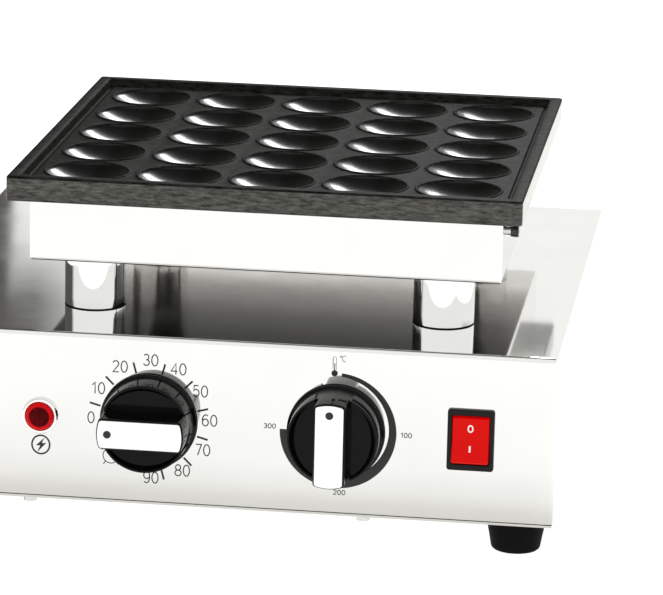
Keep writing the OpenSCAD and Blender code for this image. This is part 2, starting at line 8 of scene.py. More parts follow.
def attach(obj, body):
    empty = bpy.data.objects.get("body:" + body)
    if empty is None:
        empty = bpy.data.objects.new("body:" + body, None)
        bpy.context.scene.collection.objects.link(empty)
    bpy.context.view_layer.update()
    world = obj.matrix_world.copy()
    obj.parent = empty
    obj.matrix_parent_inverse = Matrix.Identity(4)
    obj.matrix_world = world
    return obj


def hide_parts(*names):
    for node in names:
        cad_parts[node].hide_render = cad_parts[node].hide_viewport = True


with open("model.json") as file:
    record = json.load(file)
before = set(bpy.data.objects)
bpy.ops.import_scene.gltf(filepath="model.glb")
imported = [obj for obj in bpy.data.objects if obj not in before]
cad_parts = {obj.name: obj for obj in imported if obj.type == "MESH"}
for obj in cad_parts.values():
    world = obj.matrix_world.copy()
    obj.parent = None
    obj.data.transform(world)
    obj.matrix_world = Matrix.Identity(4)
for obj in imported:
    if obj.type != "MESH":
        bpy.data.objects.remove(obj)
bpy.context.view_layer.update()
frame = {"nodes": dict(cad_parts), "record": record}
NODES = frame["nodes"]
MM = 0.001
OX = 20.0  # middle of the plate from the middle of the base

# ---------------------------------------------------------------- materials


class Mat:
    """A procedural material around one Principled shader; lengths in it are millimetres of the row frame."""

    def __init__(self, name, color, rough, metal=0.0, **sockets):
        self.m = bpy.data.materials.new(name)
        self.m.use_nodes = True
        self.t = self.m.node_tree
        self.b = self.t.nodes["Principled BSDF"]
        self.b.inputs["Base Color"].default_value = (*color, 1)
        self.b.inputs["Roughness"].default_value = rough
        self.b.inputs["Metallic"].default_value = metal
        for k, v in sockets.items():
            self.b.inputs[k.replace("_", " ")].default_value = v
        self.m.diffuse_color = (*color, 1)
        self.last = None

    def new(self, kind, **props):
        n = self.t.nodes.new(kind)
        for k, v in props.items():
            setattr(n, k, v)
        return n

    def link(self, a, b):
        self.t.links.new(a, b)

    def coords(self, stretch=(1, 1, 1), rotate=(0, 0, 0)):
        tc = self.new("ShaderNodeTexCoord")
        mp = self.new("ShaderNodeMapping")
        mp.inputs["Scale"].default_value = [1000 * s for s in stretch]
        mp.inputs["Rotation"].default_value = rotate
        self.link(tc.outputs["Object"], mp.inputs["Vector"])
        return mp.outputs["Vector"]

    def noise(self, size, stretch=(1, 1, 1), detail=4, rough=0.55, distortion=0.0, rotate=(0, 0, 0)):
        n = self.new("ShaderNodeTexNoise")
        n.inputs["Scale"].default_value = 1.0 / size
        n.inputs["Detail"].default_value = detail
        n.inputs["Roughness"].default_value = rough
        n.inputs["Distortion"].default_value = distortion
        self.link(self.coords(stretch, rotate), n.inputs["Vector"])
        return n.outputs["Fac"]

    def voronoi(self, size, feature="F1"):
        n = self.new("ShaderNodeTexVoronoi", feature=feature)
        n.inputs["Scale"].default_value = 1.0 / size
        self.link(self.coords(), n.inputs["Vector"])
        return n.outputs["Distance"]

    def ramp(self, fac, stops):
        n = self.new("ShaderNodeValToRGB")
        e = n.color_ramp.elements
        while len(e) < len(stops):
            e.new(0.5)
        for el, (p, c) in zip(e, stops):
            el.position = p
            el.color = (*c, 1) if len(c) == 3 else c
        self.link(fac, n.inputs["Fac"])
        return n.outputs["Color"]

    def span(self, fac, a, b, lo=0.25, hi=0.75):
        n = self.new("ShaderNodeMapRange")
        n.inputs["From Min"].default_value = lo
        n.inputs["From Max"].default_value = hi
        n.inputs["To Min"].default_value = a
        n.inputs["To Max"].default_value = b
        self.link(fac, n.inputs["Value"])
        return n.outputs["Result"]

    def mix(self, fac, a, b, blend="MIX"):
        n = self.new("ShaderNodeMix", data_type="RGBA", blend_type=blend)
        for sock, v in ((n.inputs[0], fac), (n.inputs[6], a), (n.inputs[7], b)):
            if isinstance(v, (int, float)):
                sock.default_value = v
            elif isinstance(v, tuple):
                sock.default_value = (*v, 1) if len(v) == 3 else v
            else:
                self.link(v, sock)
        return n.outputs[2]

    def color(self, out):
        self.link(out, self.b.inputs["Base Color"])
        return self

    def rough(self, out):
        self.link(out, self.b.inputs["Roughness"])
        return self

    def bump(self, height, depth, strength=1.0):
        n = self.new("ShaderNodeBump")
        n.inputs["Strength"].default_value = strength
        n.inputs["Distance"].default_value = depth * MM
        self.link(height, n.inputs["Height"])
        if self.last is not None:
            self.link(self.last, n.inputs["Normal"])
        self.last = n.outputs["Normal"]
        self.link(self.last, self.b.inputs["Normal"])
        return self


def steel(name, color, rough, grain, wave=0.5, spots=0.02, depth=0.0015, painted_floor_shade=False):
    m = Mat(name, color, rough, 1.0)
    lines = m.noise(0.5, grain, 5, 0.6)
    cloud = m.noise(46, (1, 1, 1), 3, 0.5)
    tone = m.mix(m.span(cloud, 0, 1), tuple(c * 0.975 for c in color), tuple(min(1, c * 1.02) for c in color))
    if painted_floor_shade:
        # painted shade: the colour darkens towards the bottom, standing in for the shaded floor reflected near the
        # object
        tc = m.new("ShaderNodeTexCoord")
        sep = m.new("ShaderNodeSeparateXYZ")
        m.link(tc.outputs["Object"], sep.inputs[0])
        floor_shade_ramp = m.ramp(m.span(sep.outputs["Z"], 0, 1, 0.022, 0.066), [(0.0, (0.69, 0.685, 0.665)), (0.12, (0.74, 0.735, 0.72)), (0.3, (0.88, 0.88, 0.87)), (0.6, (0.97, 0.97, 0.97)), (1.0, (1, 1, 1))])
        tone = m.mix(1.0, tone, floor_shade_ramp, "MULTIPLY")
    m.color(tone)
    n = m.new("ShaderNodeMath", operation="ADD")
    m.link(m.span(lines, rough * 0.8, rough * 1.25), n.inputs[0])
    m.link(m.span(cloud, -spots, spots), n.inputs[1])
    m.rough(n.outputs[0])
    m.bump(m.noise(70, (1, 1, 1), 1, 0.4), 0.05 * wave)
    m.bump(lines, depth)
    return m.m


M = {}
M["stainless"] = steel("stainless", (0.85, 0.845, 0.83), 0.05, (0.02, 1, 1), painted_floor_shade=True)


def box_steel():
    """Polished sides; the underside, below z 142.6 mm, is dull and painted dark as shade, darkest at the front and
    lighter towards the rear, with a darker mottle.
    """
    m = Mat("box_steel", (0.86, 0.855, 0.84), 0.06, 1.0, Specular_IOR_Level=0.02)
    tc = m.new("ShaderNodeTexCoord")
    sep = m.new("ShaderNodeSeparateXYZ")
    m.link(tc.outputs["Object"], sep.inputs[0])
    low = m.new("ShaderNodeMath", operation="LESS_THAN")
    m.link(sep.outputs["Z"], low.inputs[0])
    low.inputs[1].default_value = 0.1426
    cloud = m.noise(46, (1, 1, 1), 3, 0.5)
    lines = m.noise(0.5, (0.02, 1, 1), 5, 0.6)
    clean = m.mix(m.span(cloud, 0, 1), (0.84, 0.835, 0.82), (0.875, 0.87, 0.86))
    # painted shade: the underside is coloured dark, darkest at the front and lighter towards the rear, and its
    # metallic is lowered the same way
    deep = m.new("ShaderNodeMapRange")
    m.link(sep.outputs["Y"], deep.inputs["Value"])
    deep.inputs["From Min"].default_value = -0.058
    deep.inputs["From Max"].default_value = 0.085
    underside_shade_hue = m.ramp(deep.outputs["Result"], [(0.0, (0.045, 0.043, 0.038)), (0.3, (0.11, 0.104, 0.092)), (0.62, (0.24, 0.23, 0.21)), (1.0, (0.46, 0.45, 0.42))])
    painted_underside_shade = m.mix(m.span(m.noise(30, (1, 1, 1), 4, 0.6), 0.0, 0.35), underside_shade_hue, (0.05, 0.046, 0.038))
    m.color(m.mix(low.outputs[0], clean, painted_underside_shade))
    underside_shade_metal = m.ramp(deep.outputs["Result"], [(0.0, (0.02, 0.02, 0.02)), (0.3, (0.22, 0.22, 0.22)), (0.55, (0.50, 0.50, 0.50)), (1.0, (0.85, 0.85, 0.85))])
    m.link(m.mix(low.outputs[0], (1.0, 1.0, 1.0), underside_shade_metal), m.b.inputs["Metallic"])
    r = m.mix(low.outputs[0], (0.055, 0.055, 0.055), (0.13, 0.13, 0.13))
    add = m.new("ShaderNodeMath", operation="ADD")
    m.link(r, add.inputs[0])
    m.link(m.span(lines, -0.012, 0.02), add.inputs[1])
    m.rough(add.outputs[0])
    m.bump(m.noise(70, (1, 1, 1), 1, 0.4), 0.02)
    m.bump(lines, 0.001)
    return m.m


M["box_steel"] = box_steel()
M["polished_stainless"] = steel("polished_stainless", (0.88, 0.875, 0.86), 0.07, (0.02, 1, 1))
M["chrome_post"] = steel("chrome_post", (0.90, 0.90, 0.895), 0.045, (1, 1, 0.03), wave=0.15, spots=0.01, depth=0.0008)
M["aluminium_sheet"] = steel("aluminium_sheet", (0.78, 0.78, 0.79), 0.30, (0.03, 1, 1), wave=1.0)

m = Mat("silver_insert", (0.93, 0.93, 0.925), 0.22, 1.0)
m.rough(m.span(m.noise(0.35, (1, 1, 1), 4), 0.16, 0.28))
m.bump(m.noise(0.25, (1, 1, 1), 3), 0.0015)
M["silver_insert"] = m.m

m = Mat("chrome_bezel", (0.93, 0.93, 0.93), 0.06, 1.0)
m.rough(m.span(m.noise(0.6), 0.04, 0.09))
M["chrome_bezel"] = m.m


def plastic(name, color, rough, fine=0.35, depth=0.004, coat=0.0, vary=0.12, **sockets):
    m = Mat(name, color, rough, 0.0, **sockets)
    if coat:
        m.b.inputs["Coat Weight"].default_value = coat
        m.b.inputs["Coat Roughness"].default_value = 0.04
    big = m.noise(9, (1, 1, 1), 3)
    m.color(m.mix(m.span(big, 0, 1), tuple(c * (1 - vary) for c in color), tuple(min(1, c * (1 + vary)) for c in color)))
    m.rough(m.span(m.noise(1.7), rough * 0.85, rough * 1.2))
    m.bump(m.noise(fine, (1, 1, 1), 3), depth)
    return m.m


M["black_knob"] = plastic("black_knob", (0.0030, 0.0029, 0.0028), 0.10, 0.5, 0.0012, Specular_IOR_Level=0.12)
M["black_plastic"] = plastic("black_plastic", (0.005, 0.005, 0.005), 0.30, 0.3, 0.004, Specular_IOR_Level=0.2)
M["pale_plastic"] = plastic("pale_plastic", (0.74, 0.72, 0.66), 0.38)
M["control_case"] = plastic("control_case", (0.52, 0.49, 0.41), 0.42)
M["rubber"] = plastic("rubber", (0.005, 0.005, 0.005), 0.55, 0.35, 0.02, Specular_IOR_Level=0.03)
M["red_rocker"] = plastic("red_rocker", (0.30, 0.0015, 0.0006), 0.34, 0.4, 0.002, vary=0.05, Specular_IOR_Level=0.10, Emission_Color=(1, 0.0, 0.0, 1), Emission_Strength=0.40)

m = Mat("red_lens", (0.62, 0.002, 0.004), 0.12, 0.0, Specular_IOR_Level=0.08)
m.color(m.mix(m.span(m.noise(2.2), 0, 1), (0.50, 0.001, 0.003), (0.72, 0.003, 0.006)))
m.bump(m.noise(1.5), 0.02)
M["red_lens"] = m.m
m = Mat("red_lens_deep", (0.07, 0.0005, 0.001), 0.16, 0.0, Specular_IOR_Level=0.04)
m.color(m.mix(m.span(m.noise(2.6), 0, 1), (0.035, 0.0005, 0.001), (0.13, 0.0008, 0.002)))
m.bump(m.noise(1.2), 0.03)
M["red_lens_deep"] = m.m

m = Mat("dark_screw", (0.045, 0.045, 0.045), 0.35, 0.8)
m.color(m.mix(m.span(m.noise(0.6), 0, 1), (0.03, 0.03, 0.03), (0.09, 0.088, 0.085)))
m.bump(m.noise(0.3), 0.01)
M["dark_screw"] = m.m


def metal(name, a, b, rough, size=1.5, depth=0.004):
    m = Mat(name, a, rough, 1.0)
    f = m.noise(size, (1, 1, 1), 5)
    m.color(m.mix(m.span(f, 0, 1), a, b))
    m.rough(m.span(m.noise(size * 0.4), rough * 0.75, rough * 1.3))
    m.bump(m.noise(size * 0.25), depth)
    return m.m


M["zinc"] = metal("zinc", (0.60, 0.61, 0.60), (0.74, 0.73, 0.70), 0.26)
M["brass"] = metal("brass", (0.72, 0.50, 0.20), (0.82, 0.62, 0.30), 0.24)
M["copper"] = metal("copper", (0.70, 0.36, 0.22), (0.80, 0.46, 0.30), 0.28)
M["element_sheath"] = metal("element_sheath", (0.16, 0.14, 0.13), (0.26, 0.22, 0.19), 0.5, 3, 0.01)

m = Mat("fibre_board", (0.74, 0.70, 0.62), 0.9)
m.color(m.ramp(m.noise(1.2, (1, 0.25, 1), 6, 0.7), [(0.3, (0.62, 0.58, 0.49)), (0.7, (0.80, 0.77, 0.69))]))
m.bump(m.noise(0.8, (1, 0.3, 1), 6, 0.7), 0.08)
M["fibre_board"] = m.m

m = Mat("glass_sleeve", (0.78, 0.74, 0.64), 0.75)
w = m.new("ShaderNodeTexWave", wave_type="BANDS", bands_direction="DIAGONAL")
w.inputs["Scale"].default_value = 2.2
m.link(m.coords(), w.inputs["Vector"])
m.color(m.ramp(w.outputs["Fac"], [(0.2, (0.62, 0.58, 0.48)), (0.7, (0.84, 0.81, 0.72))]))
m.bump(w.outputs["Fac"], 0.06)
M["glass_sleeve"] = m.m

m = Mat("ink_black", (0.006, 0.006, 0.006), 0.45)
m.rough(m.span(m.noise(0.4), 0.38, 0.52))
M["ink_black"] = m.m
m = Mat("ink_grey", (0.30, 0.30, 0.29), 0.5)
m.color(m.mix(m.span(m.noise(0.5), 0, 1), (0.24, 0.24, 0.235), (0.38, 0.38, 0.37)))
M["ink_grey"] = m.m
m = Mat("ink_white", (0.86, 0.85, 0.82), 0.45)
m.color(m.mix(m.span(m.noise(0.4), 0, 1), (0.80, 0.79, 0.76), (0.90, 0.90, 0.88)))
M["ink_white"] = m.m

# Cast iron: ground flat top, turned dishes, milled sides, and left and right sides coloured bright as a painted
# reflection
m = Mat("cast_iron", (0.010, 0.010, 0.0095), 0.42, 0.0, Specular_IOR_Level=0.006)
g = m.noise(2.4, (0.35, 1, 1), 6, 0.65)
s = m.noise(0.55, (1, 1, 1), 4, 0.7)
m.color(m.mix(m.span(g, 0, 1, 0.36, 0.66), (0.004, 0.004, 0.0037), (0.030, 0.0295, 0.0272)))
m.rough(m.span(s, 0.36, 0.52))
m.bump(s, 0.05)
m.bump(g, 0.05)
M["cast_iron"] = m.m
m = Mat("cast_iron_dish", (0.008, 0.008, 0.0075), 0.28, 0.0, Specular_IOR_Level=0.30)
g = m.noise(1.5, (1, 1, 1), 5, 0.65)
m.color(m.mix(m.span(g, 0, 1), (0.002, 0.002, 0.0019), (0.006, 0.006, 0.0056)))
m.rough(m.span(m.noise(0.5, (1, 1, 1), 3), 0.17, 0.26))
m.bump(m.noise(0.6, (1, 1, 1), 4, 0.6), 0.015)
M["cast_iron_dish"] = m.m
m = Mat("cast_iron_side", (0.09, 0.09, 0.085), 0.30, 1.0)
g = m.noise(1.5, (0.22, 0.22, 1), 7, 0.8)
s = m.noise(0.9, (0.5, 0.5, 1), 5, 0.7)
m.color(m.mix(m.span(g, 0, 1, 0.37, 0.64), (0.026, 0.026, 0.023), (0.135, 0.132, 0.120)))
m.rough(m.span(s, 0.24, 0.40))
m.bump(g, 0.06)
m.bump(s, 0.03)
M["cast_iron_side"] = m.m
# painted reflection: a bright metal colour on the plate's left and right sides stands in for their grazing-angle sheen
m = Mat("cast_iron_painted_sheen", (0.74, 0.73, 0.70), 0.34, 1.0)
g = m.noise(1.3, (1, 0.2, 1), 6, 0.7)
m.color(m.mix(m.span(g, 0, 1), (0.42, 0.415, 0.39), (0.70, 0.69, 0.66)))
m.rough(m.span(g, 0.28, 0.42))
m.bump(g, 0.01)
M["cast_iron_painted_sheen"] = m.m

# ---------------------------------------------------------------- mesh helpers


def piece(name, verts, faces, mats, body, replaces=(), face_mat=None, smooth=35):
    """A mesh piece; its vertices are millimetres from the middle of the plate, on the floor."""
    me = bpy.data.meshes.new(name)
    me.from_pydata([((x + OX) * MM, y * MM, z * MM) for x, y, z in verts], [], faces)
    me.validate()
    for mt in mats if isinstance(mats, (list, tuple)) else [mats]:
        me.materials.append(M[mt])
    if face_mat:
        for p, k in zip(me.polygons, face_mat):
            p.material_index = k
    ob = bpy.data.objects.new(name, me)
    bpy.context.scene.collection.objects.link(ob)
    import bmesh
    bm = bmesh.new()
    bm.from_mesh(me)
    bmesh.ops.remove_doubles(bm, verts=bm.verts, dist=1e-7)
    bmesh.ops.recalc_face_normals(bm, faces=bm.faces)
    bm.to_mesh(me)
    bm.free()
    if smooth is not None:
        me.shade_smooth()
        if smooth < 180:
            bpy.context.view_layer.objects.active = ob
            me.set_sharp_from_angle(angle=math.radians(smooth))
    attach(ob, body)
    if replaces:
        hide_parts(*replaces)
    return ob


class Build:
    """Collects vertices and faces for one piece."""

    def __init__(self, place=None):
        self.v, self.f, self.k = [], [], []
        self.place = place or (lambda p: p)
        self.mat = 0

    def loop(self, pts):
        i = len(self.v)
        self.v += [self.place(p) for p in pts]
        return list(range(i, i + len(pts)))

    def face(self, f):
        self.f.append(f)
        self.k.append(self.mat)

    def bridge(self, a, b, closed=True):
        n = len(a)
        for i in range(n if closed else n - 1):
            j = (i + 1) % n
            self.face([a[i], a[j], b[j], b[i]])

    def stack(self, loops, cap0=True, cap1=True, closed=True):
        ids = [self.loop(l) for l in loops]
        for a, b in zip(ids, ids[1:]):
            self.bridge(a, b, closed)
        if cap0:
            self.face(ids[0][::-1])
        if cap1:
            self.face(ids[-1])
        return ids

    def lathe(self, profile, n=96, cap0=False, cap1=False):
        """profile is (r, z) pairs; r 0 makes a pole."""
        rings = []
        for r, z in profile:
            if r < 1e-6:
                rings.append(self.loop([(0, 0, z)]))
            else:
                rings.append(self.loop([(r * math.cos(2 * math.pi * i / n), r * math.sin(2 * math.pi * i / n), z) for i in range(n)]))
        for a, b in zip(rings, rings[1:]):
            if len(a) == 1 and len(b) == 1:
                continue
            if len(a) == 1:
                for i in range(n):
                    self.face([a[0], b[i], b[(i + 1) % n]])
            elif len(b) == 1:
                for i in range(n):
                    self.face([a[i], a[(i + 1) % n], b[0]])
            else:
                self.bridge(a, b)
        return rings


def inset(pts, d):
    """Moves a closed counter-clockwise outline inwards by d."""
    out = []
    n = len(pts)
    for i in range(n):
        p0, p, p1 = Vector(pts[i - 1]), Vector(pts[i]), Vector(pts[(i + 1) % n])
        a, b = (p - p0).normalized(), (p1 - p).normalized()
        na, nb = Vector((-a.y, a.x)), Vector((-b.y, b.x))
        m = na + nb
        m = m / max(m.length_squared, 1e-9) * 2 if m.length > 1e-6 else na
        if m.length > 3:
            m = m.normalized() * 3
        out.append((p.x + m.x * d, p.y + m.y * d))
    return out


def fillet_levels(r, steps=4):
    """(inset, height) pairs of a quarter round of radius r, height up to 0."""
    return [(r * (1 - math.cos(a)), -r + r * math.sin(a)) for a in [math.pi / 2 * i / steps for i in range(steps + 1)]]


def prism(b, outline, z0, z1, r=0.4, low=0.0, steps=4, cap0=True, cap1=True):
    loops = []
    if low:
        for d, h in reversed(fillet_levels(low, steps)):
            loops.append([(x, y, z0 - h) for x, y in inset(outline, d)])
    else:
        loops.append([(x, y, z0) for x, y in outline])
    for d, h in fillet_levels(r, steps):
        loops.append([(x, y, z1 + h) for x, y in inset(outline, d)])
    return b.stack(loops, cap0, cap1)


def round_rect(w, h, r, n=8):
    pts = []
    for cx, cy, a0 in ((w / 2 - r, -h / 2 + r, -90), (w / 2 - r, h / 2 - r, 0), (-w / 2 + r, h / 2 - r, 90), (-w / 2 + r, -h / 2 + r, 180)):
        for i in range(n + 1):
            a = math.radians(a0 + 90 * i / n)
            pts.append((cx + r * math.cos(a), cy + r * math.sin(a)))
    return pts


def bar_outline(R, w, rc, n=14, nc=6):
    """Bar whose ends follow a circle of radius R, half width w, corners of radius rc, counter-clockwise."""
    Ri, wi = R - rc, w - rc
    phi = math.asin(wi / Ri)
    cx = Ri * math.cos(phi)
    q = [(R * math.cos(-phi + 2 * phi * i / n), R * math.sin(-phi + 2 * phi * i / n)) for i in range(n + 1)]
    q += [(cx + rc * math.cos(phi + (math.pi / 2 - phi) * i / nc), wi + rc * math.sin(phi + (math.pi / 2 - phi) * i / nc)) for i in range(1, nc + 1)]
    left = [(-x, y) for x, y in reversed(q)]
    pts = q + left
    low = [(x, -y) for x, y in q if y > wi * 0.999]
    pts += [(-x, y) for x, y in [(x, y) for x, y in low][:0]]
    out = []
    # right end, top right corner, top left corner, left end, bottom left corner, bottom right corner
    out += [(R * math.cos(-phi + 2 * phi * i / n), R * math.sin(-phi + 2 * phi * i / n)) for i in range(n + 1)]
    tr = [(cx + rc * math.cos(phi + (math.pi / 2 - phi) * i / nc), wi + rc * math.sin(phi + (math.pi / 2 - phi) * i / nc)) for i in range(1, nc + 1)]
    out += tr
    out += [(-x, y) for x, y in reversed(tr)]
    out += [(-R * math.cos(phi - 2 * phi * i / n), R * math.sin(phi - 2 * phi * i / n)) for i in range(n + 1)]
    out += [(-x, -y) for x, y in tr]
    out += [(x, -y) for x, y in reversed(tr)]
    return out


FY = -178.0
ROW = 66.9


def on_front(x, z, turn=0.0):
    """Local x right, local y up, local z out of the front panel."""
    c, s = math.cos(math.radians(turn)), math.sin(math.radians(turn))

    def f(p):
        u, v, w = p
        return (x + u * c - v * s, FY - w, z + u * s + v * c)

    return f


# ---------------------------------------------------------------- baking plate

PITCH, PY, TOP, FACE = 51.5, -4.0, 191.1, 187.1


def make_plate():
    b = Build(lambda p: (p[0], p[1] + PY, p[2]))
    n = 64
    half = PITCH / 2
    R = (22.5 ** 2 + 7.5 ** 2) / 15
    prof = [(22.5 * i / 15, 0) for i in range(16)]
    prof = [(r, FACE - 7.5 + R - math.sqrt(R * R - r * r)) for r, _ in prof[:-1]]
    prof += [(22.25, FACE - 0.12), (22.42, FACE + 0.2), (22.62, FACE + 0.52), (22.9, FACE + 0.74), (23.2, FACE + 0.8), (23.55, FACE + 0.76), (23.85, FACE + 0.55), (24.02, FACE + 0.25), (24.25, FACE + 0.06), (24.6, FACE)]
    sq = []
    for i in range(n):
        side, t = divmod(i + n // 8, n // 4)
        u = -half + PITCH * t / (n // 4)
        sq.append([(half, u), (-u, half), (-half, -u), (u, -half)][side % 4])
    for j in range(-2, 3):
        for i in range(-2, 3):
            cx, cy = i * PITCH, j * PITCH
            b.mat = 1
            rings = [b.loop([(cx, cy, prof[0][1])])]
            for r, z in prof[1:]:
                rings.append(b.loop([(cx + r * math.cos(a), cy + r * math.sin(a), z) for a in [2 * math.pi * k / n for k in range(n)]]))
            for k in range(n):
                b.face([rings[0][0], rings[1][k], rings[1][(k + 1) % n]])
            for q, (a, c) in enumerate(zip(rings[1:], rings[2:])):
                b.mat = 1 if q < 14 else 0
                b.bridge(a, c)
            b.mat = 0
            outer = b.loop([(cx + x, cy + y, FACE) for x, y in sq])
            b.bridge(rings[-1], outer)
    # border: rings of a square with rounded corners
    h0 = 2.5 * PITCH
    per = n // 4 * 5

    def ring(h, z, rc):
        out = []
        for side in range(4):
            c, s = [(1, 0), (0, 1), (-1, 0), (0, -1)][side]
            line = []
            for k in range(1, per):
                line.append((h, -h0 + 2 * h0 * k / per))
            line = [(x, max(-h + rc, min(h - rc, y))) for x, y in line]
            for k in range(6):
                a = math.radians(90 * k / 5)
                line.append((h - rc + rc * math.cos(a), h - rc + rc * math.sin(a)))
            out += [(x * c - y * s, x * s + y * c, z) for x, y in line]
        return out

    b.mat = 0
    border = [(h0, FACE, 0.001), (130.4, FACE, 0.6), (130.9, FACE - 0.12, 0.8), (131.2, FACE - 0.6, 0.9), (131.6, FACE - 0.92, 1.0), (132.3, FACE - 1.0, 1.1),
              (132.9, FACE - 0.9, 1.2), (133.3, FACE - 0.5, 1.3), (133.5, FACE + 0.1, 1.4), (133.62, FACE + 2.6, 1.4), (133.75, TOP - 0.75, 1.4), (134.0, TOP - 0.25, 1.5), (134.5, TOP, 1.6),
              (137, TOP, 1.6), (139.9, TOP, 1.6), (140.5, TOP - 0.14, 1.8), (140.85, TOP - 0.5, 2.0), (141, TOP - 1.1, 2.1)]
    ids = b.stack([ring(h, z, rc) for h, z, rc in border], False, False)
    b.mat = 2
    low = [(141, 183.8, 2.1), (141, 178.2, 2.1), (140.75, 177.6, 2.0), (140.2, 177.3, 1.8)]
    ids2 = [b.loop(ring(h, z, rc)) for h, z, rc in low]
    b.bridge(ids[-1], ids2[0])
    for a, c in zip(ids2, ids2[1:]):
        b.bridge(a, c)
    inner = b.loop(ring(129.5, 177.3, 1.5))
    b.bridge(ids2[-1], inner)
    b.mat = 0
    b.face(inner)
    # the left and right sides are coloured bright: a painted reflection of the bright surroundings at a grazing angle
    for n, f in enumerate(b.f):
        if all(abs(b.v[i][0]) > 140.9 and b.v[i][2] < TOP - 0.9 for i in f):
            b.k[n] = 3
    piece("baking_plate_cast", b.v, b.f, ["cast_iron", "cast_iron_dish", "cast_iron_side", "cast_iron_painted_sheen"], "frame", ["baking_plate"], b.k, smooth=50)


make_plate()

# ---------------------------------------------------------------- knobs


def make_knob(name, x, turn, body):
    place = on_front(x, ROW, turn)
    b = Build(place)
    # flared skirt, round at the panel, hollow behind
    b.lathe([(3.2, 1.6), (20.4, 1.6), (20.9, 1.1), (25.9, 1.0), (26.35, 1.08), (26.58, 1.35), (26.6, 1.75), (26.45, 2.15), (26.0, 2.6), (25.4, 3.2), (24.95, 3.9), (24.6, 4.8), (24.3, 6.0),
             (24.05, 7.6), (23.88, 9.8), (23.75, 12.4), (23.68, 14.0), (23.4, 14.3), (0, 14.3)], 128)
    # side segments with a hollow that falls towards the grip
    for s in (1, -1):
        arc = []
        a0 = math.atan2(9.9, 22.15)
        for i in range(41):
            a = a0 + (math.pi - 2 * a0) * i / 40
            arc.append((24.35 * math.cos(a), 24.35 * math.sin(a)))
        chord = [(-20.4, 9.0), (-18.6, 8.3), (-17.4, 7.0)] + [(-17.4 + 34.8 * i / 10, 7.0) for i in range(1, 10)] + [(17.4, 7.0), (18.6, 8.3), (20.4, 9.0)]
        outline = arc + chord
        wide = [(px * 1.035, py * 1.035) if py > 9.5 else (px, py) for px, py in outline]
        loops = [[(px, py, 2.2) for px, py in wide], [(px * 0.5 + qx * 0.5, py * 0.5 + qy * 0.5, 9) for (px, py), (qx, qy) in zip(wide, outline)]]
        for d, h in fillet_levels(0.55, 4):
            loops.append([(px, py, 17 + h) for px, py in inset(outline, d)])
        rim = inset(outline, 1.25)
        loops.append([(px, py, 17.0) for px, py in rim])
        for t in (0.05, 0.12, 0.2, 0.3, 0.42, 0.55, 0.68, 0.8, 0.9, 1.0):
            depth = 9.2 * (1 - (1 - t) ** 1.9)
            row = []
            for px, py in rim:
                gx, gy = max(-17.0, min(17.0, px * 0.86)), 9.6
                row.append((px + (gx - px) * t, py + (gy - py) * t, 17 - depth))
            loops.append(row)
        loops = [[(px, s * py, pz) for px, py, pz in l] for l in loops]
        b.stack(loops, True, True)
    # grip bar
    prism(b, bar_outline(23.65, 8.5, 1.9), 2.5, 29.0, 0.7)
    ob = piece(name + "_moulded", b.v, b.f, "black_knob", body, [name], smooth=40)
    # insert with its dot
    i = Build(place)
    prism(i, bar_outline(22.85, 7.55, 1.5), 28.9, 30.0, 0.22)
    piece(name + "_insert_plate", i.v, i.f, "silver_insert", body, [name + "_insert"], smooth=40)
    d = Build(lambda p: place((p[0] - 17.4, p[1], p[2])))
    d.lathe([(0, 29.95), (2.15, 29.95), (2.15, 30.03), (2.05, 30.07), (0, 30.07)], 40)
    piece(name + "_dot", d.v, d.f, "ink_black", body, smooth=40)


make_knob("timer_knob", -55.0, 0, "timer_knob")
make_knob("thermostat_knob", 47.1, -90, "thermostat_knob")

# ---------------------------------------------------------------- rocker switch

SX = 120.0


